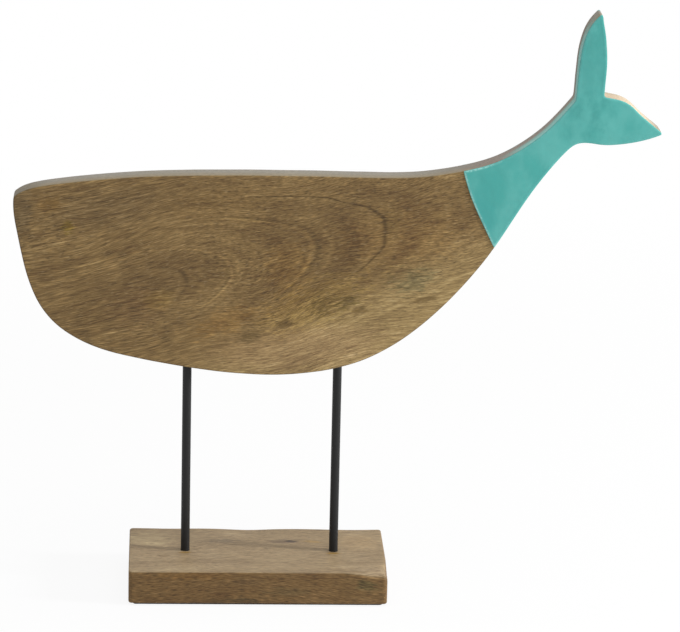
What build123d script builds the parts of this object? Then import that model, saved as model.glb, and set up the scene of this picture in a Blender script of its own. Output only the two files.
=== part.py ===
# Whale figurine on a stand: a whale sawn from a flat mango wood plank, its tail coated with
# poured enamel on both faces, held over a solid wood base by two black iron rods.
#
# Millimetres. The origin is the middle of the felt's underside, on which the figurine stands.
# +X runs from the nose to the tail, +Y from the front face to the back face, +Z is up.
import os

from build123d import *

# Whale
whale_length = 429.2  # nose to the point of the low fluke, before the point is rounded
whale_height = 249.8  # lowest line of the belly to the point of the high fluke, likewise
nose_reach = 165.0  # from the middle of the base to the nose
plank_thickness = 17.0
edge_bevel = 0.6  # sanded edge round both faces
brow_round = 3.0  # between the nose and the back
fluke_tip_round = 1.1
fluke_root_round = 4.0  # where the back turns up into the high fluke
crotch_round = 1.2  # between the two flukes

# Enamel on the two faces of the tail
enamel_thickness = 0.9  # above the flat face of the plank
enamel_lip_bevel = 0.7

# Base
base_length = 174.0
base_depth = 90.0
base_thickness = 22.5
base_corner_round = 1.5
base_top_round = 1.2
base_foot_bevel = 1.5

# Felt under the base
felt_thickness = 1.5
felt_inset = 3.0
felt_corner_round = 2.0

# Rods
rod_diameter = 6.0
rod_spacing = 101.0
rods_off_centre = 1.6  # the pair stands this far towards the tail
belly_clearance = 127.2  # top of the base to the lowest line of the belly
rod_in_body = 31.0  # above the lowest line of the belly
rod_in_base = 11.5
rod_end_chamfer = 0.5
glue_gap = 0.1  # round a rod in its holes

# Pan head screw under each rod, through the base into the rod's tapped end
screw_diameter = 4.0
screw_length = 14.0
screw_tip_chamfer = 0.5
screw_head_diameter = 8.0
screw_head_height = 3.1
screw_head_bevel = 1.0
cross_length = 4.2
cross_width = 1.0
cross_depth = 1.7
thread_clearance = 0.05
screw_hole_clearance = 0.25
tap_run_out = 3.0  # depth of the tapped hole beyond the screw's tip

# Washer under each screw head, in a counterbore that the felt hides
washer_diameter = 9.0
washer_thickness = 0.8
washer_hole_clearance = 0.15
counterbore_clearance = 1.5
counterbore_depth = 5.0

cut_overrun = 1.0

# Heights and places that follow
base_bottom = felt_thickness
base_top = base_bottom + base_thickness
belly_z = base_top + belly_clearance
rod_bottom = base_top - rod_in_base
rod_top = belly_z + rod_in_body
rod_length = rod_top - rod_bottom
counterbore_ceiling = base_bottom + counterbore_depth
washer_bottom = counterbore_ceiling - washer_thickness
screw_tip = washer_bottom + screw_length
rod_hole_radius = rod_diameter / 2 + glue_gap
screw_hole_radius = screw_diameter / 2 + screw_hole_clearance
counterbore_radius = washer_diameter / 2 + counterbore_clearance
head_rod_x = rods_off_centre - rod_spacing / 2
tail_rod_x = rods_off_centre + rod_spacing / 2
rod_places = [(head_rod_x, 0), (tail_rod_x, 0)]
enamel_start = plank_thickness / 2 - edge_bevel  # from the middle of the plank
past_tail = whale_length - nose_reach + cut_overrun
past_fluke = belly_z + whale_height + cut_overrun

# The outline, as shares of the whale's length from the nose and of its height from the belly
back_shares = [
    (0.0007, 0.4850), (0.0140, 0.5006), (0.0410, 0.5148), (0.0960, 0.5284), (0.1700, 0.5412),
    (0.2700, 0.5492), (0.5400, 0.5490), (0.6350, 0.5530), (0.6850, 0.5668), (0.7400, 0.5928),
    (0.7850, 0.6345), (0.8200, 0.6825), (0.8420, 0.7228), (0.8613, 0.7634),
]
high_fluke_back_shares = [
    (0.8613, 0.7634), (0.8625, 0.8000), (0.8645, 0.8500), (0.8668, 0.8900), (0.8712, 0.9260),
    (0.8785, 0.9585), (0.8905, 0.9868), (0.8988, 1.0),
]
high_fluke_front_shares = [
    (0.8988, 1.0), (0.9008, 0.9735), (0.9043, 0.9440), (0.9072, 0.9000), (0.9085, 0.8620),
    (0.9077, 0.8250), (0.9064, 0.7748),
]
low_fluke_top_shares = [
    (0.9064, 0.7748), (0.9215, 0.7697), (0.9350, 0.7637), (0.9480, 0.7515), (0.9600, 0.7325),
    (0.9800, 0.7030), (1.0, 0.6750),
]
belly_shares = [
    (0.0007, 0.4850), (0.0, 0.4594), (0.0060, 0.3878), (0.0205, 0.2754), (0.0515, 0.1631),
    (0.1104, 0.0865), (0.2038, 0.0398), (0.3015, 0.0119), (0.3912, 0.0), (0.4660, 0.0081),
    (0.5408, 0.0405), (0.6151, 0.1147), (0.6880, 0.2334), (0.7418, 0.3520), (0.7951, 0.5000),
    (0.8305, 0.5838), (0.8500, 0.6227), (0.8664, 0.6445), (0.8800, 0.6480), (0.9050, 0.6432),
    (0.9300, 0.6444), (0.9600, 0.6525), (0.9850, 0.6645), (1.0, 0.6750),
]

# The line where the enamel begins, from above the back to below the belly
enamel_line_shares = [
    (0.6835, 0.6200), (0.6941, 0.5546), (0.7069, 0.4892), (0.7245, 0.4238), (0.7402, 0.3690), (0.7640, 0.2900),
]


def on_plank(shares):
    return [(along * whale_length - nose_reach, belly_z + up * whale_height) for along, up in shares]


rounded_corners = [
    (on_plank(back_shares)[0], brow_round),
    (on_plank(back_shares)[-1], fluke_root_round),
    (on_plank(low_fluke_top_shares)[0], crotch_round),
    (on_plank(high_fluke_front_shares)[0], fluke_tip_round),
    (on_plank(low_fluke_top_shares)[-1], fluke_tip_round),
]

with BuildSketch(Plane.XZ) as whale_outline:
    with BuildLine():
        Spline(*on_plank(back_shares))
        Spline(*on_plank(high_fluke_back_shares))
        Spline(*on_plank(high_fluke_front_shares))
        Spline(*on_plank(low_fluke_top_shares))
        Spline(*on_plank(belly_shares))
    make_face()
    for corner, radius in rounded_corners:
        fillet(whale_outline.vertices().sort_by_distance(corner)[0], radius)

# The tail end of the same outline
with BuildSketch(Plane.XZ) as tail_outline:
    add(whale_outline.sketch_local)
    with BuildLine():
        enamel_line = Spline(*on_plank(enamel_line_shares))
        Polyline(
            enamel_line @ 1,
            (past_tail, (enamel_line @ 1).Y),
            (past_tail, past_fluke),
            ((enamel_line @ 0).X, past_fluke),
            enamel_line @ 0,
        )
    make_face(mode=Mode.INTERSECT)

# Whale, with a blind hole from below for each rod
with BuildPart() as whale_body:
    with BuildSketch(Plane.XZ.offset(-plank_thickness / 2)):
        add(whale_outline.sketch_local)
    extrude(amount=plank_thickness)
    front_and_back = whale_body.edges().group_by(Axis.Y)
    chamfer(front_and_back[0] + front_and_back[-1], edge_bevel)
    with BuildSketch(Plane.XY.offset(rod_top)):
        with Locations(*rod_places):
            Circle(rod_hole_radius)
    extrude(amount=-(rod_in_body + cut_overrun), mode=Mode.SUBTRACT)
whale_body.part.label = "whale_body"

# Enamel coats, poured on the flat faces and run down the sanded edge
with BuildPart() as tail_enamel_front:
    with BuildSketch(Plane.XZ.offset(enamel_start)):
        add(tail_outline.sketch_local)
    extrude(amount=edge_bevel + enamel_thickness)
    chamfer(tail_enamel_front.edges().group_by(Axis.Y)[0], enamel_lip_bevel)
    add(whale_body.part, mode=Mode.SUBTRACT)
tail_enamel_front.part.label = "tail_enamel_front"

with BuildPart() as tail_enamel_back:
    with BuildSketch(Plane.XZ.offset(-enamel_start)):
        add(tail_outline.sketch_local)
    extrude(amount=-edge_bevel - enamel_thickness)
    chamfer(tail_enamel_back.edges().group_by(Axis.Y)[-1], enamel_lip_bevel)
    add(whale_body.part, mode=Mode.SUBTRACT)
tail_enamel_back.part.label = "tail_enamel_back"

# Base, drilled from above for the rods and from below for their screws
with BuildPart() as base_block:
    with BuildSketch(Plane.XY.offset(base_bottom)):
        RectangleRounded(base_length, base_depth, base_corner_round)
    extrude(amount=base_thickness)
    fillet(base_block.edges().group_by(Axis.Z)[-1], base_top_round)
    chamfer(base_block.edges().group_by(Axis.Z)[0], base_foot_bevel)
    with BuildSketch(Plane.XY.offset(rod_bottom)):
        with Locations(*rod_places):
            Circle(rod_hole_radius)
    extrude(amount=rod_in_base + cut_overrun, mode=Mode.SUBTRACT)
    with BuildSketch(Plane.XY.offset(base_bottom - cut_overrun)):
        with Locations(*rod_places):
            Circle(counterbore_radius)
    extrude(amount=counterbore_depth + cut_overrun, mode=Mode.SUBTRACT)
    with BuildSketch(Plane.XY.offset(counterbore_ceiling - cut_overrun)):
        with Locations(*rod_places):
            Circle(screw_hole_radius)
    extrude(amount=rod_bottom - counterbore_ceiling + 2 * cut_overrun, mode=Mode.SUBTRACT)
base_block.part.label = "base_block"

with BuildPart() as felt_sheet:
    with BuildSketch(Plane.XY):
        RectangleRounded(base_length - 2 * felt_inset, base_depth - 2 * felt_inset, felt_corner_round)
    extrude(amount=felt_thickness)
felt_sheet.part.label = "felt_sheet"


def make_rod(rod_x, label):
    with BuildPart() as rod:
        with BuildSketch(Plane((rod_x, 0, rod_bottom))):
            Circle(rod_diameter / 2)
        extrude(amount=rod_length)
        chamfer(rod.edges(), rod_end_chamfer)
        with BuildSketch(Plane((rod_x, 0, rod_bottom))):
            Circle(screw_diameter / 2 + thread_clearance)
        extrude(amount=screw_tip + tap_run_out - rod_bottom, mode=Mode.SUBTRACT)
    rod.part.label = label
    return rod


def make_screw(rod_x, label):
    head_bottom = washer_bottom - screw_head_height
    with BuildPart() as screw:
        with BuildSketch(Plane((rod_x, 0, head_bottom))):
            Circle(screw_head_diameter / 2)
        extrude(amount=screw_head_height)
        chamfer(screw.edges().group_by(Axis.Z)[0], screw_head_bevel)
        with BuildSketch(Plane((rod_x, 0, washer_bottom))):
            Circle(screw_diameter / 2)
        extrude(amount=screw_length)
        chamfer(screw.edges().group_by(Axis.Z)[-1], screw_tip_chamfer)
        with BuildSketch(Plane((rod_x, 0, head_bottom))):
            Rectangle(cross_length, cross_width)
            Rectangle(cross_width, cross_length)
        extrude(amount=cross_depth, mode=Mode.SUBTRACT)
    screw.part.label = label
    return screw


def make_washer(rod_x, label):
    with BuildPart() as washer:
        with BuildSketch(Plane((rod_x, 0, washer_bottom))):
            Circle(washer_diameter / 2)
            Circle(screw_diameter / 2 + washer_hole_clearance, mode=Mode.SUBTRACT)
        extrude(amount=washer_thickness)
    washer.part.label = label
    return washer


pieces = [whale_body, tail_enamel_front, tail_enamel_back, base_block, felt_sheet]
for end, rod_x in (("head", head_rod_x), ("tail", tail_rod_x)):
    pieces.append(make_rod(rod_x, end + "_rod"))
    pieces.append(make_screw(rod_x, end + "_screw"))
    pieces.append(make_washer(rod_x, end + "_washer"))

os.makedirs("parts", exist_ok=True)
for piece in pieces:
    export_step(piece.part, "parts/" + piece.part.label + ".step")
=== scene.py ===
import math

import bmesh
import bpy
import numpy as np
from mathutils import Matrix, Vector, noise
from mathutils.geometry import delaunay_2d_cdt


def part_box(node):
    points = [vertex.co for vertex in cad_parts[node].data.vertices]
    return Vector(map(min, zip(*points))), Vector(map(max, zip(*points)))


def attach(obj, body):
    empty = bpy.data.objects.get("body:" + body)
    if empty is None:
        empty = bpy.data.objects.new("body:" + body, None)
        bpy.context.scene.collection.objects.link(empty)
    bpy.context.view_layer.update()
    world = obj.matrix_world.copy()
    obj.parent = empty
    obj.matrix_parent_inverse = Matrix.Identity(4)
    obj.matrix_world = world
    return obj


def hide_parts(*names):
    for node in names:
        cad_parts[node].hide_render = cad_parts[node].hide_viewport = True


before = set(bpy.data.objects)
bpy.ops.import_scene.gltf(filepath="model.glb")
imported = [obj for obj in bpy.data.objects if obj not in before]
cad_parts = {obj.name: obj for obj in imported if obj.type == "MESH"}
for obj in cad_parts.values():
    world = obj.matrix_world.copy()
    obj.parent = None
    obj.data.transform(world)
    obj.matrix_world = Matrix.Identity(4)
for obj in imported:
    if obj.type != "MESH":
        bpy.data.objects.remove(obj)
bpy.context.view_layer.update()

# A whale sawn from a mango wood plank, with an enamelled tail, on two black rods over a wood block.
# Blender works in metres; settings are in millimetres and degrees unless they say otherwise.
mm = 0.001


# Meshes that follow the outlines of the CAD pieces

outlines = {
    "weld": 0.001,  # corners of a CAD mesh this close are one
    "levelWithin": 0.1,
    "upright": 0.35,  # a wall's normal leans less than this share along the axis
    "shortest": 0.01,  # shorter steps of an outline are dropped
    "straight": 30.0,  # longer steps are cut up, so that they stay straight
    "corner": 24.0,  # a step that turns by more is a corner
    "easingRounds": 200,
    "shrinkStep": 0.06,
    "measuredAtOnce": 500,
    "rowHeight": 0.866,  # of the staggered grid, as a share of its spacing
    "gridGap": 0.6,  # from the outline to the grid, as a share of its spacing
    "fillMerge": 0.0001,
}


def outlineOf(node, axis, level):
    # the closed outline of a CAD piece where its upright wall ends, as points in the other two axes
    mesh = bmesh.new()
    mesh.from_mesh(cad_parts[node].data)
    bmesh.ops.remove_doubles(mesh, verts=mesh.verts, dist=outlines["weld"] * mm)
    onLevel = {v for v in mesh.verts if abs(v.co[axis] - level * mm) < outlines["levelWithin"] * mm}
    beside = {}
    for edge in mesh.edges:
        first, second = edge.verts
        walls = [face for face in edge.link_faces if abs(face.normal[axis]) < outlines["upright"]]
        if first in onLevel and second in onLevel and len(walls) == 1:
            beside.setdefault(first, []).append(second)
            beside.setdefault(second, []).append(first)
    kept = [i for i in range(3) if i != axis]
    start = max(beside, key=lambda v: v.co.length)
    walk = [start]
    nextOne = beside[start][0]
    while nextOne is not start:
        onward = [v for v in beside[nextOne] if v is not walk[-1]]
        walk.append(nextOne)
        nextOne = onward[0]
    points = np.array([[v.co[i] / mm for i in kept] for v in walk])
    mesh.free()
    ahead = np.roll(points, -1, axis=0)
    area = (points[:, 0] * ahead[:, 1] - ahead[:, 0] * points[:, 1]).sum() / 2
    return points if area > 0 else points[::-1]


def evenOutline(points, spacing, straight=outlines["straight"]):
    # the same outline on smooth curves between its points, at an even spacing; a longer side is straight
    step = np.linalg.norm(np.roll(points, -1, axis=0) - points, axis=1)
    points = points[step > outlines["shortest"]]
    parts = []
    for start, end in zip(points, np.roll(points, -1, axis=0)):
        count = math.ceil(np.linalg.norm(end - start) / straight)
        parts += [start + (end - start) * k / count for k in range(count)]
    points = np.array(parts)
    ahead = np.roll(points, -1, axis=0) - points
    step = np.linalg.norm(ahead, axis=1)
    forward = ahead / step[:, None]
    behind = np.roll(forward, 1, axis=0)
    stepBehind = np.roll(step, 1)
    turn = (forward * behind).sum(1)
    slope = (forward * stepBehind[:, None] + behind * step[:, None]) / (step + stepBehind)[:, None]
    sharp = turn < math.cos(math.radians(outlines["corner"]))
    total = step.sum()
    count = int(total / spacing)
    starts = np.concatenate([[0], np.cumsum(step)])
    places = np.arange(count) * total / count
    index = np.clip(np.searchsorted(starts, places, side="right") - 1, 0, len(points) - 1)
    following = (index + 1) % len(points)
    t = ((places - starts[index]) / step[index])[:, None]
    leave = np.where(sharp[index][:, None], forward[index], slope[index]) * step[index][:, None]
    arrive = np.where(sharp[following][:, None], forward[index], slope[following]) * step[index][:, None]
    return (
        (2 * t**3 - 3 * t**2 + 1) * points[index]
        + (t**3 - 2 * t**2 + t) * leave
        + (3 * t**2 - 2 * t**3) * points[following]
        + (t**3 - t**2) * arrive
    )


def easeCorners(ring, most):
    # rounds the corners of an outline until no step of it turns by more than a given angle
    for _ in range(outlines["easingRounds"]):
        behind, ahead = np.roll(ring, 1, axis=0), np.roll(ring, -1, axis=0)
        arrive, leave = ring - behind, ahead - ring
        cosine = (arrive * leave).sum(1) / np.linalg.norm(arrive, axis=1) / np.linalg.norm(leave, axis=1)
        sharp = cosine < math.cos(math.radians(most))
        if not sharp.any():
            break
        ring = np.where(sharp[:, None], ring / 2 + (behind + ahead) / 4, ring)
    return ring


def inwards(ring):
    # unit vectors into the shape at each point of an outline that runs counter-clockwise
    along = np.roll(ring, -1, axis=0) - np.roll(ring, 1, axis=0)
    along /= np.linalg.norm(along, axis=1)[:, None]
    return np.column_stack([-along[:, 1], along[:, 0]])


def shrink(ring, inset):
    # the outline drawn inwards in small steps, with its corners eased so that it never crosses itself
    steps = math.ceil(inset / outlines["shrinkStep"])
    for _ in range(steps):
        ring = easeCorners(ring + inwards(ring) * inset / steps, outlines["corner"])
    return ring


def distanceTo(ring, points):
    nearest = np.empty(len(points))
    step = outlines["measuredAtOnce"]
    for start in range(0, len(points), step):
        block = points[start:start + step]
        nearest[start:start + step] = np.linalg.norm(block[:, None] - ring[None], axis=2).min(1)
    return nearest


def fillOutline(ring, spacing):
    # triangles across an outline, over points on a staggered grid inside it
    low, high = ring.min(0), ring.max(0)
    rows = []
    for k, row in enumerate(np.arange(low[1], high[1], spacing * outlines["rowHeight"])):
        places = np.arange(low[0] + (k % 2) * spacing / 2, high[0], spacing)
        rows.append(np.column_stack([places, np.full(len(places), row)]))
    grid = np.concatenate(rows)
    inside = np.zeros(len(grid), bool)
    for (ax, ay), (bx, by) in zip(ring, np.roll(ring, -1, axis=0)):
        if ay != by:
            crosses = (grid[:, 1] < ay) != (grid[:, 1] < by)
            inside ^= crosses & (grid[:, 0] < ax + (grid[:, 1] - ay) * (bx - ax) / (by - ay))
    grid = grid[inside]
    grid = grid[distanceTo(ring, grid) > spacing * outlines["gridGap"]]
    corners = [Vector(point) for point in np.concatenate([ring, grid])]
    sides = [(i, (i + 1) % len(ring)) for i in range(len(ring))]
    made = delaunay_2d_cdt(corners, sides, [], 1, outlines["fillMerge"])
    triangles, original = made[2], made[3]
    return grid, [[original[i][0] for i in face] for face in triangles]


def buildSlab(ring, levels, place, spacing, dome=None):
    # rings stacked through (inset, height) levels, closed at both ends by filled faces
    count = len(ring)
    rings = [(shrink(ring, inset), np.full(count, height)) for inset, height in levels]
    corners = [place(flat[:, 0], flat[:, 1], height) for flat, height in rings]
    faces = []
    for k in range(len(levels) - 1):
        for i in range(count):
            j = (i + 1) % count
            faces.append([k * count + i, k * count + j, (k + 1) * count + j, (k + 1) * count + i])
    used = len(levels) * count
    for first, (flat, height) in ((0, rings[0]), ((len(levels) - 1) * count, rings[-1])):
        grid, triangles = fillOutline(flat, spacing)
        rise = np.full(len(grid), height[0])
        if dome and first:
            rise = rise + dome(distanceTo(flat, grid))
        corners.append(place(grid[:, 0], grid[:, 1], rise))
        for face in triangles:
            faces.append([first + i if i < count else used + i - count for i in face])
        used += len(grid)
    return np.concatenate(corners), faces


def lying(across, deep, height):
    # a slab's outline and levels as places, where the outline is seen from above
    return np.column_stack([across, deep, height])


def standing(across, up, depth):
    # the same where the outline is seen from the front
    return np.column_stack([across, depth, up])


def takeOff(corners, ring, levels, axes, depthAt):
    # moves the corners along a slab's sides inwards, each by a depth of its own
    toInside = inwards(ring)
    for k in range(len(levels) * len(ring)):
        corners[k, axes] += toInside[k % len(ring)] * depthAt(corners[k])


def quarterRound(radius, steps):
    # (inset, height below the face) from the side of a slab over a rounded edge to its face
    turns = [math.pi / 2 * k / steps for k in range(steps + 1)]
    return [(radius * (1 - math.cos(t)), radius - radius * math.sin(t)) for t in turns]


def addObject(name, data):
    made = bpy.data.objects.new(name, data)
    bpy.context.scene.collection.objects.link(made)
    return made


def makePiece(name, corners, faces):
    mesh = bpy.data.meshes.new(name)
    mesh.from_pydata((corners * mm).tolist(), [], faces)
    shaped = bmesh.new()
    shaped.from_mesh(mesh)
    bmesh.ops.recalc_face_normals(shaped, faces=shaped.faces)
    shaped.to_mesh(mesh)
    shaped.free()
    mesh.polygons.foreach_set("use_smooth", [True] * len(mesh.polygons))
    return addObject(name, mesh)


drilling = {"sides": 48, "sharpFrom": 50.0}


def drill(piece, holes):
    # cuts round holes, each (x, y, lowest z, highest z, radius), out of a piece
    cutters = bmesh.new()
    for x, y, low, high, radius in holes:
        matrix = Matrix.Translation(Vector((x, y, (low + high) / 2)) * mm)
        bmesh.ops.create_cone(
            cutters, cap_ends=True, segments=drilling["sides"], radius1=radius * mm, radius2=radius * mm,
            depth=(high - low) * mm, matrix=matrix,
        )
    cutterMesh = bpy.data.meshes.new("drillBits")
    cutters.to_mesh(cutterMesh)
    cutters.free()
    cutter = addObject("drillBits", cutterMesh)
    cut = piece.modifiers.new("drilled", "BOOLEAN")
    cut.operation = "DIFFERENCE"
    cut.object = cutter
    cut.solver = "EXACT"
    bpy.context.view_layer.update()
    drilled = bpy.data.meshes.new_from_object(piece.evaluated_get(bpy.context.evaluated_depsgraph_get()))
    piece.modifiers.clear()
    piece.data = drilled
    bpy.data.objects.remove(cutter)
    drilled.set_sharp_from_angle(angle=math.radians(drilling["sharpFrom"]))


def rodPlaces():
    # (x, upper end) of both rods
    boxes = [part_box(rod) for rod in ("head_rod", "tail_rod")]
    return [((low.x + high.x) / 2 / mm, high.z / mm) for low, high in boxes]


def wander(point, size, seed):
    # smooth noise from about 0 to 1, in waves of the given size
    return 0.5 + 0.5 * noise.noise(Vector(point) / size + Vector((seed, seed * 0.37, -seed)))


# Small tools for building shader nodes

rampStops = (0.10, 0.30, 0.50, 0.70, 0.90)  # places of the colours on a ramp


def treeOf(*values):
    # the node tree that the first socket among some values is in
    return next(value.id_data for value in values if isinstance(value, bpy.types.NodeSocket))


def newNode(kind, *values, tree=None, operation=None, **named):
    # feeds values to the node's inputs in their order, and named ones by their name
    values = dict(enumerate(values)) | named
    node = (tree or treeOf(*values.values())).nodes.new("ShaderNode" + kind)
    if operation:
        node.operation = operation
    feed(node, values)
    return node


def feed(node, values):
    for label, value in values.items():
        if isinstance(value, bpy.types.NodeSocket):
            node.id_data.links.new(value, node.inputs[label])
        else:
            node.inputs[label].default_value = value


def maths(operation, *values):
    return newNode("Math", *values, operation=operation).outputs[0]


def added(total, *values):
    for value in values:
        total = maths("ADD", total, value)
    return total


def times(product, *values):
    for value in values:
        product = maths("MULTIPLY", product, value)
    return product


def minus(value, taken):
    return maths("SUBTRACT", value, taken)


def spread(value, amount):
    # noise round zero, drawn out by an amount
    return times(minus(value, 0.5), amount)


def vectorMaths(operation, *values):
    node = newNode("VectorMath", *values, operation=operation)
    return node.outputs["Value" if operation == "LENGTH" else "Vector"]


def rotated(vector, middle, axis, angle):
    return newNode("VectorRotate", Vector=vector, Center=middle, Axis=axis, Angle=angle).outputs[0]


def split(vector):
    return tuple(newNode("SeparateXYZ", vector).outputs)


def join(x, y, z):
    return newNode("CombineXYZ", x, y, z).outputs[0]


def noiseAt(vector, detail=2.0, roughness=0.5):
    return newNode("TexNoise", Vector=vector, Scale=1.0, Detail=detail, Roughness=roughness).outputs["Fac"]


def placeNoise(place, waves, detail=2.0, roughness=0.5):
    # noise with so many waves in a millimetre along X, Y and Z
    return noiseAt(vectorMaths("MULTIPLY", place, waves), detail, roughness)


def drawnNoise(axes, waves, detail=1.0, roughness=0.5):
    # the same along three axes of the wood
    return noiseAt(join(*[times(value, wave) for value, wave in zip(axes, waves)]), detail, roughness)


def mapped(value, low, high, toLow=0.0, toHigh=1.0, smooth=True):
    node = newNode("MapRange", value, low, high, toLow, toHigh)
    node.interpolation_type = "SMOOTHSTEP" if smooth else "LINEAR"
    return node.outputs[0]


def mixed(factor, first, second, blend="MIX"):
    node = newNode("Mix", tree=treeOf(factor, first, second))
    node.data_type = "RGBA"
    node.blend_type = blend
    feed(node, {0: factor, 6: first, 7: second})
    return node.outputs[2]


def colourOf(red, green, blue):
    # a colour given as it looks on a screen, from 0 to 255, as the shader's own linear values
    def linear(value):
        value /= 255
        return value / 12.92 if value <= 0.04045 else ((value + 0.055) / 1.055) ** 2.4
    return (linear(red), linear(green), linear(blue), 1.0)


def tintOf(red, green, blue):
    # a factor on a colour as it looks on a screen, as the shader's own linear factor
    return (red**2.2, green**2.2, blue**2.2, 1.0)


def rampOf(value, colours):
    node = newNode("ValToRGB", value)
    marks = node.color_ramp.elements
    while len(marks) < len(colours):
        marks.new(0.5)
    for mark, position, colour in zip(marks, rampStops, colours):
        mark.position = position
        mark.color = colourOf(*colour)
    return node.outputs[0]


def startMaterial(name):
    material = bpy.data.materials.new(name)
    material.use_nodes = True
    tree = material.node_tree
    place = newNode("TexCoord", tree=tree).outputs["Object"]
    place = vectorMaths("MULTIPLY", place, (1 / mm, 1 / mm, 1 / mm))
    return material, tree.nodes["Principled BSDF"], place


def facingAt(place):
    return split(newNode("TexCoord", tree=place.id_data).outputs["Normal"])


def finishShader(shader, height, relief, values):
    # relief is the real height of the bumps in millimetres
    feed(shader, values)
    if relief:
        bump = newNode("Bump", Strength=1.0, Distance=relief * mm, Height=height)
        feed(shader, {"Normal": bump.outputs["Normal"]})


def dress(piece, material):
    piece.data.materials.clear()
    piece.data.materials.append(material)


# Shader tools for wood: grain stands for a place along, across and through the grain, in millimetres

grainAxis = (0, 1, 0)  # the plank's grain is turned round this direction, the block's round the one below
blockAxis = (0, 0, -1)
drift = {"waves": (0.009, 0.022, 0.022), "reach": 4.0}  # how the fibres stray along the log
rippleWaves = (0.022, 0.05, 0.05)  # of the rings
pithBlend = 4.0  # where the rings come round the pith
branch = {"fade": 16.0, "swap": 4.0}  # how softly a ring line begins, and changes sides at the pith
fibreDetail = 1.5
silkRelief = 0.5  # height of the silk against that of the fine fibres
stainRim = (1.15, 0.35)  # from no stain to full stain, in shares of its size


def swirled(place, swirls, axis):
    # turns the place round lines through points, so that the grain swirls there and runs straight far off
    for middle, reach, turn in swirls:
        far = vectorMaths("CROSS_PRODUCT", vectorMaths("SUBTRACT", place, middle), axis)
        far = maths("DIVIDE", vectorMaths("LENGTH", far), reach)
        turned = times(maths("EXPONENT", times(far, far, -1.0)), math.radians(turn))
        place = rotated(place, middle, axis, turned)
    return place


def grainAt(place, heart, rise, wandering):
    # heart is a point on the pith, rise that of the grain towards +X, wandering how far the fibres stray
    turned = rotated(place, heart, (0, 1, 0), math.radians(rise))
    along, through, across = split(vectorMaths("SUBTRACT", turned, heart))
    strayed = drawnNoise((along, across, through), drift["waves"])
    return along, added(across, spread(strayed, wandering * drift["reach"])), through


def radiusOf(grain, depth, slope, sag, ripple):
    # distance from the pith, which lies deeper or nearer to the face along the log; ripple is in millimetres
    along, across, through = grain
    depth = minus(added(depth, times(along, slope)), times(along, along, sag))
    depth = maths("SMOOTH_MAX", minus(depth, through), 0.0, pithBlend)
    radius = maths("SQRT", added(times(across, across), times(depth, depth)))
    return added(radius, spread(drawnNoise((along, across, depth), rippleWaves), ripple))


def fibresOf(grain, length, width, seed):
    # noise drawn out along the grain
    along, across, through = grain
    along = added(maths("DIVIDE", along, length), seed)
    return noiseAt(join(along, maths("DIVIDE", across, width), maths("DIVIDE", through, width)), fibreDetail)


def ringMask(radius, grain, at, width, upper, lower):
    # a line where the radius has one value; its branches above and below the pith begin along the log
    along, across = grain[:2]
    off = maths("ABSOLUTE", minus(radius, at))
    lower, upper = (mapped(minus(along, start), -branch["fade"], branch["fade"]) for start in (lower, upper))
    return times(mapped(off, width, 0.0), mapped(across, -branch["swap"], branch["swap"], lower, upper))


def patchMask(place, middle, size, axis=grainAxis, turn=0.0, ragged=None, broken=2.0):
    # a soft patch round a point, half as wide as size says, whose rim follows the ragged noise
    away = rotated(vectorMaths("SUBTRACT", place, middle), (0, 0, 0), axis, math.radians(turn))
    far = vectorMaths("LENGTH", vectorMaths("DIVIDE", away, size))
    if ragged:
        far = added(far, spread(ragged, broken))
    return mapped(far, *stainRim)


def stained(colour, place, ragged, stains, axis):
    for middle, size, turn, broken, tint in stains:
        mask = patchMask(place, middle, size, axis, turn, ragged, broken)
        colour = mixed(mask, colour, tintOf(*tint), "MULTIPLY")
    return colour


def bandNoise(radius, grain, band):
    # tone that changes from ring to ring, and slowly along the log
    slow = times(grain[0], band["along"])
    return noiseAt(join(times(radius, band["waves"]), slow, band["seed"]), band["detail"])


def toneOf(parts, amounts):
    # half way up the colour ramp, moved by each part of the figure as far as its amount says
    return added(0.5, *[spread(parts[label], amount) for label, amount in amounts.items()])


def figureOf(place, grain, radius, settings):
    parts = {label: bandNoise(radius, grain, band) for label, band in settings["bands"].items()}
    parts["cloud"] = placeNoise(place, settings["cloud"])
    for label in ("streak", "silk"):
        parts[label] = fibresOf(grain, *settings[label])
    return parts


def finishWood(shader, colour, settings, silk, fine, pores):
    height = added(times(silk, silkRelief), fine, times(pores, -1.0))
    finishShader(shader, height, settings["relief"], {
        "Base Color": colour, "Roughness": settings["roughness"], "Specular IOR Level": settings["specular"]})


# Whale

whale = {
    "outlineSpacing": 0.9,
    "fillSpacing": 4.0,
    "sharpest": 30.0,  # that one step of the outline may turn
    "bevel": 0.6,  # of the CAD plank, whose outline is read where it begins
    "roundOver": 0.8,  # sanded edge
    "roundSteps": 6,
    "wallRows": 10,
    "sanding": {"depth": 0.22, "wave": 17.0, "through": 0.8, "seed": 3.1},  # of the uneven edge
    "rodHole": {"from": 140.0, "radius": 3.1},  # drilled upwards
}

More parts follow.
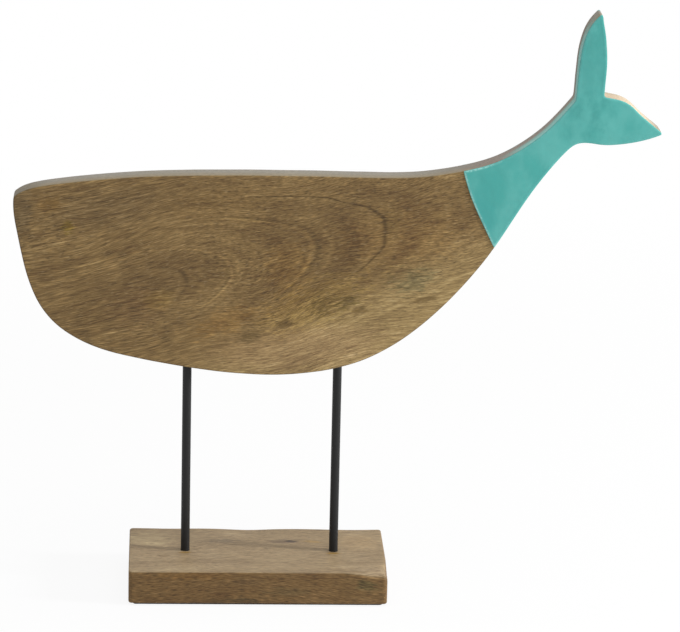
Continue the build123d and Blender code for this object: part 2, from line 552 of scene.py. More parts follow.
wood = {
    "rings": {"heart": (-22.0, -8.5, 225.0), "rise": 16.3},
    "pith": {"depth": 28.0, "slope": 0.34, "sag": 0.0007, "ripple": 3.0},
    "lines": [  # single rings that stand out: radius, width, where both branches begin, tint, strength
        (17.4, 0.9, -50, -40, (0.82, 0.81, 0.80), 0.8),
        (18.6, 0.8, -40, -30, (1.12, 1.12, 1.12), 0.7),
        (27.1, 0.8, -105, -28, (0.88, 0.88, 0.86), 0.7),
        (28.1, 0.8, -105, -28, (1.20, 1.21, 1.22), 0.9),
        (45.2, 0.8, 4, 14, (1.20, 1.21, 1.20), 0.9),
        (46.2, 0.9, 4, 14, (0.85, 0.85, 0.83), 0.8),
        (57, 0.5, 30, 84, (0.60, 0.58, 0.54), 0.85),
    ],
    "linesFade": (0.36, 0.5, 0.7),  # a line loses this share of its strength between two tones of cloud
    "fibreRise": 11.4,
    "wander": 4.0,
    "swirls": [  # middle, reach, turn
        ((0, -8.5, 268), 48, -8),
        ((28, -8.5, 202), 38, 15),
        ((70, -8.5, 262), 26, -7),
        ((-105, -8.5, 245), 60, 3),
    ],
    "cloud": (0.022, 0.022, 0.03),  # waves in a millimetre
    "bands": {  # tone from ring to ring
        "broad": {"waves": 0.09, "along": 0.006, "seed": 4.0, "detail": 1.0},
        "narrow": {"waves": 0.55, "along": 0.006, "seed": 9.0, "detail": 2.0},
    },
    "streak": (26.0, 1.8, 0.0),  # length, width and seed of fibres, here and below
    "silk": (11.0, 0.75, 7.3),
    "fineAtNose": (9.0, 0.4, 4.1),
    "fineAtTail": (3.6, 0.42, 2.9),
    "finer": (-70.0, 20.0),  # along the log, where the fine fibres get shorter
    "fineGain": {"inner": 2.4, "outer": -1.0},
    "tone": {"broad": 0.65, "narrow": 0.4, "cloud": 0.45, "streak": 0.6, "silk": 0.85},
    "tones": [(82, 60, 33), (101, 78, 46), (119, 95, 57), (138, 112, 70), (157, 132, 89)],
    "sapwood": {"radius": (46.0, 82.0), "across": (-16.0, -48.0), "tint": (1.20, 1.25, 1.31)},
    "ragged": {"waves": (1 / 9.0, 1 / 1.8, 1 / 4.0), "detail": 5.0, "roughness": 0.68},
    "pores": (4.8, 0.62, 11.7),
    "poreCut": {"from": 0.60, "crowded": -0.05, "soft": 0.12},
    "poreShare": {"alone": 0.44, "crowded": 0.26},
    "poreColour": (62, 47, 28),
    "flecks": (4.6, 0.7, 23.1),
    "fleckCut": (0.58, 0.72),
    "fleckShare": 0.32,
    "fleckColour": (176, 152, 110),
    "crowded": [  # where dark pores stand close together: middle, half size, turn
        ((44, -8.5, 208), (44, 14, 17), 24),
        ((106, -8.5, 226), (34, 14, 15), 14),
        ((4, -8.5, 187), (26, 12, 11), 14),
        ((-140, -8.5, 250), (30, 12, 26), 12),
        ((-60, -8.5, 192), (44, 12, 13), 18),
        ((80, -8.5, 262), (40, 12, 14), -4),
        ((-20, 8.5, 220), (70, 12, 22), 12),
    ],
    "stains": [  # middle, half size, turn, how far the rim is broken up, tint
        ((-160, -8.5, 263), (9, 12, 24), 0, 2, (0.92, 0.94, 1)),
        ((-128.7, -8.5, 252), (5, 6, 5.5), 10, 2.5, (1.02, 1.03, 0.78)),
        ((-139.9, -8.5, 267.2), (9, 8, 7), 12, 2.5, (1.01, 0.98, 0.90)),
        ((56.2, -8.5, 241.2), (14, 12, 20), -12, 3, (0.91, 0.89, 0.87)),
        ((41.3, -8.5, 205.2), (26, 12, 15), 28, 7, (0.92, 0.92, 0.90)),
        ((101.1, -8.5, 217.9), (15, 10, 9), 15, 6, (0.82, 0.86, 0.87)),
        ((92, -8.5, 248), (42, 12, 26), 5, 2, (1.10, 1.09, 1.06)),
        ((-83.1, -8.5, 198.2), (20, 14, 17), 12, 3, (0.95, 0.93, 0.94)),
        ((-68.9, -8.5, 202.8), (13, 8, 8), 15, 2, (1.05, 1.05, 0.97)),
        ((17, -8.5, 226.1), (18, 12, 21), 10, 3, (1.08, 1.06, 1.00)),
        ((-23.8, -8.5, 188.3), (26, 12, 9), 20, 4, (1.10, 1.07, 1.00)),
        ((25, -8.5, 170), (70, 12, 18), 6, 1.5, (1.08, 1.07, 1.12)),
        ((36, -8.5, 201), (44, 12, 16), 24, 3.5, (1.18, 1.18, 1.10)),
        ((16, -8.5, 187.5), (6, 5, 4), 30, 3.5, (0.72, 0.70, 0.68)),
        ((41, -8.5, 199.5), (10, 6, 8), 35, 5, (0.80, 0.79, 0.76)),
        ((58, -8.5, 203), (9, 6, 5), 25, 4, (0.76, 0.76, 0.73)),
        ((66, -8.5, 197), (6, 5, 3), 20, 3.5, (0.80, 0.78, 0.74)),
        ((107, -8.5, 205), (10, 6, 3), 12, 4, (0.82, 0.80, 0.76)),
        ((-10, -8.5, 190.5), (7, 6, 5), 20, 4, (0.84, 0.82, 0.80)),
        ((-7, -8.5, 177.5), (8, 6, 4), 15, 4, (0.80, 0.80, 0.77)),
        ((-62, -8.5, 222), (44, 12, 21), 12, 2, (0.90, 0.89, 0.89)),
        ((-102, -8.5, 266), (46, 12, 17), 8, 2.5, (0.90, 0.90, 0.92)),
        ((86, -8.5, 258), (7, 8, 11), 0, 3, (0.90, 0.90, 0.88)),
        ((-35, -8.5, 268), (50, 12, 12), 4, 3, (0.96, 0.95, 0.93)),
        ((30, 8.5, 215), (34, 9, 16), 20, 4, (0.84, 0.84, 0.84)),
        ((-70, 8.5, 240), (26, 9, 14), 8, 3, (1.07, 1.03, 0.90)),
    ],
    "roughness": 0.58,
    "specular": 0.3,
    "relief": 0.06,
}

edge = {  # the sawn and sanded edge of the plank, paler and greyer on top partly as painted sheen, browner below
    "steep": (0.9, 0.5),  # from the face to the wall, as the normal's share towards the front
    "share": 0.8,
    "grain": 0.4,
    # the pale greys of the top are partly the edge's own colour, partly painted sheen where it faces up
    "back": (136, 133, 124),
    "front": (133, 123, 101),
    "depth": (3.0, -8.0),  # from the back colour to the front one
    "under": (104, 86, 62),
    "turned": (-0.3, 0.4),  # from below to above, as the normal's share upwards
    "patches": [  # middle, half size, colour
        ((-164, 0, 272), (26, 30, 14), (108, 102, 86)),
        ((170, 0, 305), (46, 30, 40), (134, 124, 117)),
        ((207, 0, 366), (16, 30, 40), (104, 90, 77)),
        # painted highlight: the top of the lower fluke, where it faces the light
        ((238, 0, 336), (38, 30, 19), (205, 187, 162)),
    ],
    "paintedRimLight": {"steep": (0.99, 0.9), "turned": (0.1, -0.1), "share": 0.45},  # painted shade, dark on the lower side of the rounded edge
}

overrun = {  # enamel that ran over the sawn edge
    "colour": (132, 200, 194),
    "depth": (4.0, -5.0),  # from none of it to all of it
    "uneven": 10.0,
    "patches": [((187.0, 0.0, 318.0), (34.0, 30.0, 40.0)), ((203.0, 0.0, 358.0), (20.0, 30.0, 56.0))],
}


def makeWhale():
    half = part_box("whale_body")[1].y / mm
    ring = evenOutline(outlineOf("whale_body", 1, whale["bevel"] - half), whale["outlineSpacing"])
    ring = easeCorners(ring, whale["sharpest"])
    paintedRimLight = [(inset, half - below) for inset, below in quarterRound(whale["roundOver"], whale["roundSteps"])]
    wall = half - whale["roundOver"]
    rows = [(0.0, level) for level in np.linspace(wall, -wall, whale["wallRows"])[1:-1]]
    levels = [(inset, -level) for inset, level in reversed(paintedRimLight)]
    levels += [(inset, -level) for inset, level in rows] + paintedRimLight
    corners, faces = buildSlab(ring, levels, standing, whale["fillSpacing"])
    sanding = whale["sanding"]

    def sanded(corner):
        spot = (corner[0], corner[1] * sanding["through"], corner[2])
        return sanding["depth"] * wander(spot, sanding["wave"], sanding["seed"])

    takeOff(corners, ring, levels, [0, 2], sanded)
    piece = makePiece("whale_plank", corners, faces)
    hole = whale["rodHole"]
    drill(piece, [(x, 0, hole["from"], end, hole["radius"]) for x, end in rodPlaces()])
    return piece


def makeFigure(place):
    # the figure of the plank without its edge, and the fibres that roughen it
    rings = wood["rings"]
    log = grainAt(place, rings["heart"], rings["rise"], 0.0)
    radius = radiusOf(log, **wood["pith"])
    turned = swirled(place, wood["swirls"], grainAxis)
    grain = grainAt(turned, rings["heart"], wood["fibreRise"], wood["wander"])
    parts = figureOf(place, grain, radius, wood)
    colour = rampOf(toneOf(parts, wood["tone"]), wood["tones"])

    # sapwood along the belly
    sapwood = wood["sapwood"]
    outer = times(mapped(radius, *sapwood["radius"]), mapped(log[1], *sapwood["across"]))
    colour = mixed(outer, colour, tintOf(*sapwood["tint"]), "MULTIPLY")

    low, high, left = wood["linesFade"]
    for at, width, upper, lower, tint, strength in wood["lines"]:
        mask = ringMask(radius, log, at, width, upper, lower)
        shown = times(mask, mapped(parts["cloud"], low, high, left * strength, strength))
        colour = mixed(shown, colour, tintOf(*tint), "MULTIPLY")
    ragged = drawnNoise(grain, **wood["ragged"])
    colour = stained(colour, place, ragged, wood["stains"], grainAxis)

    # single fibres, dark pores and light flecks
    atNose, atTail = (fibresOf(grain, *wood[label]) for label in ("fineAtNose", "fineAtTail"))
    fine = mapped(mapped(log[0], *wood["finer"]), 0.0, 1.0, atNose, atTail)
    amount = maths("MULTIPLY_ADD", outer, wood["fineGain"]["outer"], wood["fineGain"]["inner"])
    gain = added(1.0, spread(fine, amount))
    colour = mixed(1.0, colour, gain, "MULTIPLY")
    crowd = 0.0
    for middle, size, turn in wood["crowded"]:
        mask = patchMask(place, middle, size, grainAxis, turn, ragged)
        crowd = maths("MAXIMUM", crowd, mask)
    cut, share = wood["poreCut"], wood["poreShare"]
    low = maths("MULTIPLY_ADD", crowd, cut["crowded"], cut["from"])
    pores = mapped(fibresOf(grain, *wood["pores"]), low, added(low, cut["soft"]))
    shown = times(pores, maths("MULTIPLY_ADD", crowd, share["crowded"], share["alone"]))
    colour = mixed(shown, colour, colourOf(*wood["poreColour"]))
    flecks = mapped(fibresOf(grain, *wood["flecks"]), *wood["fleckCut"])
    colour = mixed(times(flecks, wood["fleckShare"]), colour, colourOf(*wood["fleckColour"]))
    return colour, gain, parts, fine, pores


def makeEdgeColourAndSheen(place, up, gain, cloud):
    depth = split(place)[1]
    # painted sheen: pale greys where the edge faces up, the browner colour below
    top = mixed(mapped(depth, *edge["depth"]), colourOf(*edge["back"]), colourOf(*edge["front"]))
    colour = mixed(mapped(up, *edge["turned"]), colourOf(*edge["under"]), top)
    for middle, size, paint in edge["patches"]:
        colour = mixed(patchMask(place, middle, size), colour, colourOf(*paint))
    colour = mixed(edge["grain"], colour, gain, "MULTIPLY")
    reached = added(depth, spread(cloud, overrun["uneven"]))
    for middle, size in overrun["patches"]:
        mask = times(patchMask(place, middle, size), mapped(reached, *overrun["depth"]))
        colour = mixed(mask, colour, colourOf(*overrun["colour"]))
    return colour


def makeWhaleWood():
    material, shader, place = startMaterial("mangoWoodPlank")
    colour, gain, parts, fine, pores = makeFigure(place)
    through, up = facingAt(place)[1:]
    through = maths("ABSOLUTE", through)
    # painted shade: the rounded edge is darkened where it faces down
    paintedRimLight = edge["paintedRimLight"]
    worn = times(mapped(through, *paintedRimLight["steep"]), mapped(up, *paintedRimLight["turned"]))
    colour = mixed(times(worn, paintedRimLight["share"]), colour, colourOf(*wood["poreColour"]))
    # the sawn edge, with painted sheen on its upper side
    sawnEdgeAndSheen = makeEdgeColourAndSheen(place, up, gain, parts["cloud"])
    colour = mixed(times(mapped(through, *edge["steep"]), edge["share"]), colour, sawnEdgeAndSheen)
    finishWood(shader, colour, wood, parts["silk"], fine, pores)
    return material


whalePiece = makeWhale()
dress(whalePiece, makeWhaleWood())
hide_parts("whale_body")
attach(whalePiece, "root")
print("whale plank made,", len(whalePiece.data.polygons), "faces")


# Enamel on the tail

enamel = {
    "outlineSpacing": 0.5,
    "fillSpacing": 0.6,
    "sharpest": 30.0,
    "lipBevel": 0.7,  # of the CAD coat, whose outline is read where it begins
    "inset": 0.25,  # of the coat from the sawn edge
    "lip": [  # inset and level of its side, from the foot in the wood to the start of the swell
        (0.0, -1.7), (0.0, -0.75), (0.05, -0.5), (0.16, -0.34), (0.32, -0.26), (0.5, -0.22),
    ],
    "swell": {"height": 0.14, "reach": 2.0},
    "bead": {"height": 0.07, "at": 0.95, "width": 0.5},  # along the rim, at a distance from it
    "wave": {"depth": 0.05, "size": 13.0, "seed": 5.7},
    "cloud": (0.035, 0.035, 0.025),  # waves in a millimetre
    "mottle": {"waves": (0.16, 0.16, 0.12), "amount": 0.35},
    "depth": (0.3, 0.72),  # from the deep colour to the light one
    "deep": (53, 157, 150),
    "light": (80, 171, 164),
    # painted highlight along the bead of the rim
    "rimHighlightColour": (156, 217, 209),
    "rimHighlightAlong": (160.0, 150.0, 0.1, 1.0),  # the painted highlight on the rim is palest near the wood, from X 160 mm to 150 mm
    "rimHighlightBreak": {"waves": (0.45, 0.45, 0.45), "shown": (0.36, 0.6, 0.35, 1.0)},
    "patches": [  # middle, half size, tint
        ((212, 0, 366), (26, 30, 44), (0.84, 0.93, 0.93)),
        ((206, 0, 326), (18, 30, 16), (0.93, 0.97, 0.97)),
        ((176, 0, 290), (22, 30, 22), (1.05, 1.02, 1.02)),
        ((142, 0, 262), (16, 30, 26), (0.95, 0.99, 1)),
    ],
    "patchBreak": 1.0,
    "roughness": 0.14,
    "coat": 0.25,
    "ripple": {"waves": (0.12, 0.12, 0.12), "relief": 0.25},
}


def makeEnamel(name, node, side):
    low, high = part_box(node)
    highest = max(abs(low.y), abs(high.y)) / mm
    ring = evenOutline(outlineOf(node, 1, side * (highest - enamel["lipBevel"])), enamel["outlineSpacing"])
    ring = easeCorners(ring, enamel["sharpest"])
    levels = [(enamel["inset"] + inset, highest + level) for inset, level in enamel["lip"]]
    bead, swell, wave = enamel["bead"], enamel["swell"], enamel["wave"]

    def beadShare(distance):
        return np.exp(-((distance - bead["at"]) / bead["width"]) ** 2)

    def rise(distance):
        swollen = swell["height"] * (1 - np.exp(-distance / swell["reach"]))
        return swollen + bead["height"] * beadShare(distance)

    def place(across, up, depth):
        return standing(across, up, side * depth)

    corners, faces = buildSlab(ring, levels, place, enamel["fillSpacing"], rise)
    for corner in corners:
        if abs(corner[1]) > levels[-1][1]:
            corner[1] -= side * wave["depth"] * wander(corner, wave["size"], wave["seed"])
    piece = makePiece(name, corners, faces)
    # the share of the bead at each corner, which places the painted highlight in the finish
    share = piece.data.attributes.new("beadShare", "FLOAT", "POINT")
    share.data.foreach_set("value", beadShare(distanceTo(ring, corners[:, [0, 2]])))
    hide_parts(node)
    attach(piece, "root")
    return piece


def makeEnamelFinish():
    material, shader, place = startMaterial("tealEnamel")
    mottle = placeNoise(place, enamel["mottle"]["waves"])
    depth = placeNoise(place, enamel["cloud"])
    depth = added(depth, spread(mottle, enamel["mottle"]["amount"]))
    depth = mapped(depth, *enamel["depth"])
    colour = mixed(depth, colourOf(*enamel["deep"]), colourOf(*enamel["light"]))
    for middle, size, tint in enamel["patches"]:
        mask = patchMask(place, middle, size, ragged=mottle, broken=enamel["patchBreak"])
        colour = mixed(mask, colour, tintOf(*tint), "MULTIPLY")
    # painted highlight: the coat is pale along the bead of its rim, where its raised lip catches the light
    bead = newNode("Attribute", tree=place.id_data)
    bead.attribute_name = "beadShare"
    broken = placeNoise(place, enamel["rimHighlightBreak"]["waves"])
    paintedRimLight = times(bead.outputs["Fac"], mapped(broken, *enamel["rimHighlightBreak"]["shown"]),
        mapped(split(place)[0], *enamel["rimHighlightAlong"]))
    colour = mixed(paintedRimLight, colour, colourOf(*enamel["rimHighlightColour"]))
    waves = placeNoise(place, enamel["ripple"]["waves"], detail=1.0)
    finishShader(shader, waves, enamel["ripple"]["relief"], {
        "Base Color": colour, "Roughness": enamel["roughness"], "Coat Weight": enamel["coat"]})
    return material


enamelFinish = makeEnamelFinish()
for name, node, side in (("enamel_front", "tail_enamel_front", -1), ("enamel_back", "tail_enamel_back", 1)):
    dress(makeEnamel(name, node, side), enamelFinish)
print("enamel poured")


# Base block

block = {
    "outlineSpacing": 1.0,
    "straight": 1.5,
    "fillSpacing": 2.5,
    "readLevel": 3.0,  # above the floor, where its walls stand upright
    "inset": 0.03,  # keeps the smoothed outline inside the CAD one
    "footRound": 1.3,
    "topRound": 0.9,
    "roundSteps": 5,
    "wallDepths": (2.0, 3.0, 4.2, 5.6, 7.2, 9.0, 12.0, 15.0, 18.0),  # rows down the sides
    "lowestRow": 0.2,  # above the rounded foot
    "worn": {"round": 6.5, "x": (50.0, 84.0), "y": (-10.0, -42.0)},  # front right end
    "dips": [(-6.0, 17.0, 0.9), (62.0, 22.0, 0.45), (-60.0, 16.0, 0.35)],  # x, reach and depth, at the back
    "dipsFrom": (18.0, 45.0),  # along Y
    "wornDepth": 12.0,  # how far down the dips and the unevenness are felt
    "uneven": {"depth": 0.18, "size": 21.0, "seed": 8.3},
    "rodHole": {"radius": 3.1, "floor": 12.5},
    "screwHole": {"radius": 2.25, "floor": 6.5},
    "counterbore": {"radius": 6.0},
    "throughBy": 1.0,  # how far a drill goes past a face
}

blockWood = {
    "heart": (0.0, 26.0, -46.0),
    "wander": 5.0,
    "pith": {"depth": 0.0, "slope": 0.06, "sag": 0.0, "ripple": 9.0},
    "swirls": [  # middle, reach, turn
        ((24, 19, 24), 9, 24),
        ((60, 20, 24), 24, 10),
    ],
    "onTop": (0.35, 0.8),  # from the sides to the top, as the normal's share upwards
    "bands": {"broad": {"waves": 0.16, "along": 0.006, "seed": 2.0, "detail": 2.0}},
    "rings": {"sides": 0.25, "top": 0.35},
    "cloud": (0.03, 0.05, 0.05),  # waves in a millimetre
    "streak": (22.0, 1.8, 3.0),
    "silk": (12.0, 0.85, 5.0),
    "tone": {"cloud": 0.4, "streak": 0.3, "silk": 0.6},
    # the top's tones are paler and greyer, partly the wood's own colour and partly painted sheen
    "topTonesWithSheen": [(104, 86, 60), (124, 104, 77), (141, 121, 91), (155, 135, 104), (175, 156, 125)],
    "sideTones": [(73, 51, 26), (94, 69, 39), (110, 84, 49), (125, 98, 61), (143, 117, 78)],
    "ragged": {"waves": (1 / 9.0, 1 / 1.6, 1 / 1.6), "detail": 3.0, "roughness": 0.6},
    "fine": (4.5, 0.42, 8.0),
    "fineGain": {"sides": 2.5, "top": -0.9},
    "pores": (5.0, 0.7, 13.0),
    "poreCut": (0.6, 0.74),
    "poreShare": 0.35,
    "poreColour": (84, 66, 46),
    "stains": [  # middle, half size, turn, how far the rim is broken up, tint
        ((23.5, 18.8, 24), (5.6, 1.7, 6), 4, 1, (0.44, 0.42, 0.48)),
        ((19, 18.6, 24), (14, 4.5, 6), 5, 3, (0.84, 0.83, 0.86)),
        ((37, 18, 24), (9, 2.4, 6), -12, 2.5, (1.08, 1.04, 0.90)),
        ((-22, 18, 24), (13, 5, 6), 6, 3, (0.92, 0.93, 0.96)),
        ((-49, -5.4, 24), (6, 1.7, 5), 0, 1, (0.97, 0.90, 0.68)),
        ((52, -5.4, 24), (6.5, 2, 5), 0, 1, (0.98, 0.91, 0.66)),
        ((-64, -13, 24), (5, 1.6, 5), 5, 2, (0.88, 0.84, 0.80)),
        ((-74, 22, 24), (20, 20, 8), 0, 2, (1.15, 1.18, 1.19)),
        ((70, 18, 24), (16, 20, 8), 0, 2.5, (1.08, 1.07, 1.05)),
        ((70, -45, 15), (16, 8, 9), 0, 2, (1.05, 1.07, 1.08)),
        ((72, -45, 15), (7, 6, 4), 0, 4, (0.84, 0.90, 0.90)),
        ((20, -45, 10), (16, 6, 3.2), 0, 3.5, (0.92, 0.95, 0.97)),
        ((-12, -45, 4), (18, 6, 2.2), 0, 3, (0.84, 0.88, 0.92)),
        ((-8, -45, 17), (10, 6, 2.5), 0, 3, (0.88, 0.88, 0.90)),
        ((-42, -45, 21), (34, 6, 3), 0, 2.5, (1.03, 1, 0.93)),
        ((78, -42, 24), (14, 10, 6), 0, 1.5, (1.10, 1.12, 1.16)),
    ],
    "roughness": 0.6,
    "specular": 0.3,
    "relief": 0.06,
}


def blend(value, start, end):
    share = np.clip((value - start) / (end - start), 0, 1)
    return share * share * (3 - 2 * share)


def makeBlock():
    low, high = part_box("base_block")
    bottom, top = low.z / mm, high.z / mm
    foot, past = block["footRound"], block["throughBy"]
    ring = outlineOf("base_block", 2, block["readLevel"])
    ring = shrink(evenOutline(ring, block["outlineSpacing"], block["straight"]), block["inset"])
    rounded = reversed(quarterRound(foot, block["roundSteps"]))
    levels = [(inset, bottom + above) for inset, above in rounded]
    rows = [top - depth for depth in sorted(block["wallDepths"], reverse=True)]
    levels += [(0.0, row) for row in rows if row > bottom + foot + block["lowestRow"]]
    levels += [(inset, top - below) for inset, below in quarterRound(block["topRound"], block["roundSteps"])]
    corners, faces = buildSlab(ring, levels, lying, block["fillSpacing"])
    wearBlock(corners, ring, bottom, top)
    piece = makePiece("stand_block", corners, faces)
    rodHole, screwHole, counterbore = block["rodHole"], block["screwHole"], block["counterbore"]
    for start, end, radius in (
        (rodHole["floor"], top + past, rodHole["radius"]),
        (bottom - past, screwHole["floor"], counterbore["radius"]),
        (screwHole["floor"] - past, rodHole["floor"] + past, screwHole["radius"]),
    ):
        drill(piece, [(x, 0, start, end, radius) for x, _ in rodPlaces()])
    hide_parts("base_block")
    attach(piece, "root")
    return piece


def wearBlock(corners, ring, bottom, top):
    # rounds the worn front end more, and hollows the back edge; wood is only ever taken away
    toInside = inwards(ring)
    worn, uneven = block["worn"], block["uneven"]
    for corner in corners:
        x, y, z = corner
        if z < bottom + block["footRound"]:
            continue
        gaps = np.linalg.norm(ring - corner[:2], axis=1)
        nearest = int(gaps.argmin())
        reach = worn["round"] * blend(x, *worn["x"]) * blend(y, *worn["y"])
        aside, above = reach - gaps[nearest], reach - (top - z)
        far = math.hypot(aside, above)
        if aside > 0 and above > 0 and far > reach:
            corner[:2] += toInside[nearest] * aside * (1 - reach / far)
            corner[2] -= above * (1 - reach / far)
        hollow = sum(depth * math.exp(-((x - at) / wide) ** 2) for at, wide, depth in block["dips"])
        hollow *= blend(y, *block["dipsFrom"])
        hollow += uneven["depth"] * wander((x, y, 0), uneven["size"], uneven["seed"])
        corner[2] -= blend(z, top - block["wornDepth"], top) * hollow


def makeBlockWood():
    material, shader, place = startMaterial("mangoWoodBlock")
    turned = swirled(place, blockWood["swirls"], blockAxis)
    grain = grainAt(turned, blockWood["heart"], 0.0, blockWood["wander"])
    radius = radiusOf(grain, **blockWood["pith"])
    onTop = mapped(facingAt(place)[2], *blockWood["onTop"])
    parts = figureOf(place, grain, radius, blockWood)
    rings, fineGain = blockWood["rings"], blockWood["fineGain"]
    ringed = maths("MULTIPLY_ADD", onTop, rings["top"], rings["sides"])
    tone = toneOf(parts, {"broad": ringed, **blockWood["tone"]})
    # upward faces take the paler ramp: partly own colour, partly painted sheen
    colour = mixed(onTop, rampOf(tone, blockWood["sideTones"]), rampOf(tone, blockWood["topTonesWithSheen"]))
    ragged = drawnNoise(grain, **blockWood["ragged"])
    colour = stained(colour, place, ragged, blockWood["stains"], blockAxis)
    fine = fibresOf(grain, *blockWood["fine"])
    amount = maths("MULTIPLY_ADD", onTop, fineGain["top"], fineGain["sides"])
    colour = mixed(1.0, colour, added(1.0, spread(fine, amount)), "MULTIPLY")
    pores = mapped(fibresOf(grain, *blockWood["pores"]), *blockWood["poreCut"])
    shown = times(pores, blockWood["poreShare"])
    colour = mixed(shown, colour, colourOf(*blockWood["poreColour"]))
    finishWood(shader, colour, blockWood, parts["silk"], fine, pores)
    return material


dress(makeBlock(), makeBlockWood())
print("block made")


# Rods, screws and washers

speckled = {  # a noise of so many waves in a millimetre moves the colour and the roughness
    "blackIron": {
        "waves": (1.5, 1.5, 0.6), "detail": 3.0, "noise": 0.5, "colours": ((15, 15, 16), (30, 30, 30)),
        "roughness": (0.42, 0.55), "relief": 0.05, "more": {"Specular IOR Level": 0.3},
    },
    "zincPlate": {
        "waves": (0.8, 0.8, 0.8), "detail": 4.0, "noise": 0.5, "colours": ((168, 168, 160), (205, 205, 200)),
        "roughness": (0.25, 0.45), "relief": 0.0, "more": {"Metallic": 1.0},
    },
    # black felt; its near-black colour also stands in for the contact shadow in the gap under the block
    "blackFeltAndShadow": {
        "waves": (2.2, 2.2, 2.2), "detail": 4.0, "noise": 0.7, "colours": ((16, 16, 17), (44, 43, 44)),
        "roughness": 0.95, "relief": 0.3, "more": {},
    },
}
speckRange = (0.3, 0.7)  # of the noise, from the first roughness to the second


def makeSpeckled(name):
    settings = speckled[name]
    material, shader, place = startMaterial(name)
    speck = placeNoise(place, settings["waves"], settings["detail"], settings["noise"])
    dark, light = settings["colours"]
    roughness = settings["roughness"]
    if isinstance(roughness, tuple):
        roughness = mapped(speck, *speckRange, *roughness)
    colour = mixed(speck, colourOf(*dark), colourOf(*light))
    values = {"Base Color": colour, "Roughness": roughness, **settings["more"]}
    finishShader(shader, speck, settings["relief"], values)
    return material


blackIron = makeSpeckled("blackIron")
zincPlate = makeSpeckled("zincPlate")
for end in ("head", "tail"):
    dress(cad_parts[end + "_rod"], blackIron)
    dress(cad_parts[end + "_screw"], zincPlate)
    dress(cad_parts[end + "_washer"], zincPlate)
print("rods, screws and washers dressed")


# Felt under the block, black so that it also stands in for the contact shadow there

felt = {
    "cut": (0.168, 0.084),  # metres, as the sheet is cut
    "outlineSpacing": 0.8,
    "straight": 1.5,
    "fillSpacing": 3.0,
    "round": 0.25,
    "fuzz": {"depth": 0.22, "size": 2.3, "seed": 1.9},  # of the cut edge
}


def makeFelt():
    low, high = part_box("felt_sheet")
    bottom, top = low.z / mm, high.z / mm
    ring = evenOutline(outlineOf("felt_sheet", 2, bottom), felt["outlineSpacing"], felt["straight"])
    over, fuzz = felt["round"], felt["fuzz"]
    levels = [(over, bottom), (0.0, bottom + over), (0.0, (bottom + top) / 2), (0.0, top - over), (over, top)]
    corners, faces = buildSlab(ring, levels, lying, felt["fillSpacing"])

    def fuzzed(corner):
        return fuzz["depth"] * wander(corner, fuzz["size"], fuzz["seed"])

    takeOff(corners, ring, levels, [0, 1], fuzzed)
    piece = makePiece("felt_under", corners, faces)
    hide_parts("felt_sheet")
    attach(piece, "root")
    return piece


dress(makeFelt(), makeSpeckled("blackFeltAndShadow"))
print("felt laid under the block")


# Floor, light and camera

studio = {  # in metres and watts
    "floorReach": 20.0,
    "floorColour": (0.78, 0.78, 0.78, 1.0),
    "floorSeen": (0.35, 1.2, 0.9, 1.0),  # share of plain white in it, from near the object to far off
    "worldStrength": 0.40,
    "lampsAim": (0.03, 0.0, 0.22),
    "topLamp": {"place": (0.35, -0.45, 2.6), "size": 2.4, "power": 40.0},
    "sideLamp": {"place": (2.35, -0.5, 0.9), "size": 0.4, "power": 64.0},
}


def seenDirectly(tree):
    # what the camera sees, also in a reflection or through something clear
    rays = newNode("LightPath", tree=tree).outputs
    through = maths("MAXIMUM", rays["Is Glossy Ray"], rays["Is Transmission Ray"])
    return maths("MAXIMUM", rays["Is Camera Ray"], through)


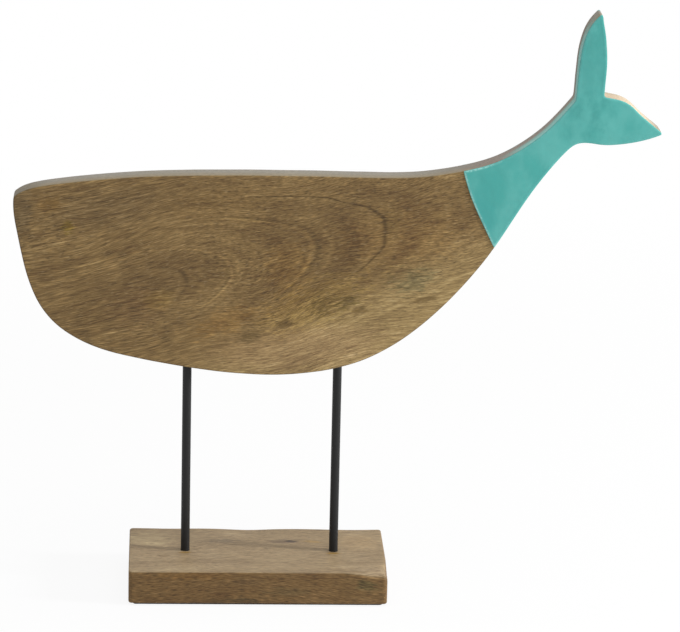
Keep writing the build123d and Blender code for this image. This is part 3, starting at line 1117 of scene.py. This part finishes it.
def makeFloor():
    reach = studio["floorReach"]
    mesh = bpy.data.meshes.new("floor")
    corners = [(-reach, -reach, 0), (reach, -reach, 0), (reach, reach, 0), (-reach, reach, 0)]
    mesh.from_pydata(corners, [], [(0, 1, 2, 3)])
    floor = addObject("floor", mesh)
    material = bpy.data.materials.new("paleFloor")
    material.use_nodes = True
    tree = material.node_tree
    tree.nodes.clear()
    diffuse = newNode("BsdfDiffuse", tree=tree, Color=studio["floorColour"])
    glow = newNode("Emission", tree=tree)
    far = vectorMaths("LENGTH", newNode("TexCoord", tree=tree).outputs["Object"])
    share = times(seenDirectly(tree), mapped(far, *studio["floorSeen"]))
    surface = newNode("MixShader", share, diffuse.outputs[0], glow.outputs[0])
    # from below the floor isn't there, so that the underside can be looked at
    below = newNode("NewGeometry", tree=tree).outputs["Backfacing"]
    clear = newNode("BsdfTransparent", tree=tree)
    surface = newNode("MixShader", below, surface.outputs[0], clear.outputs[0])
    newNode("OutputMaterial", Surface=surface.outputs[0])
    mesh.materials.append(material)


def makeWorld():
    world = bpy.data.worlds.new("studio")
    bpy.context.scene.world = world
    world.use_nodes = True
    tree = world.node_tree
    tree.nodes.clear()
    strength = mapped(seenDirectly(tree), 0.0, 1.0, studio["worldStrength"], 1.0, smooth=False)
    sky = newNode("Background", Color=(1.0, 1.0, 1.0, 1.0), Strength=strength)
    newNode("OutputWorld", Surface=sky.outputs[0])


def makeLamp(name, settings):
    lamp = bpy.data.lights.new(name, "AREA")
    lamp.size = settings["size"]
    lamp.energy = settings["power"]
    holder = addObject(name, lamp)
    holder.location = settings["place"]
    aim = Vector(studio["lampsAim"]) - holder.location
    holder.rotation_euler = aim.to_track_quat("-Z", "Y").to_euler()


makeFloor()
makeWorld()
makeLamp("topSoftbox", studio["topLamp"])
makeLamp("sideSoftbox", studio["sideLamp"])

view = {
    "place": (-0.0691, -2.4, 0.8755),
    "yaw": 2.914,
    "pitch": 15.912,
    "roll": 1.310,
    "lens": 197.39,
    "sensor": 36.0,
}
cameraData = bpy.data.cameras.new("camera")
cameraData.lens = view["lens"]
cameraData.sensor_width = view["sensor"]
camera = addObject("camera", cameraData)
turn = (
    Matrix.Rotation(-math.radians(view["yaw"]), 4, "Z")
    @ Matrix.Rotation(math.radians(90 - view["pitch"]), 4, "X")
    @ Matrix.Rotation(math.radians(view["roll"]), 4, "Z")
)
camera.matrix_world = Matrix.Translation(view["place"]) @ turn
bpy.context.scene.camera = camera
bpy.context.scene.view_settings.view_transform = "Standard"
print("studio ready")
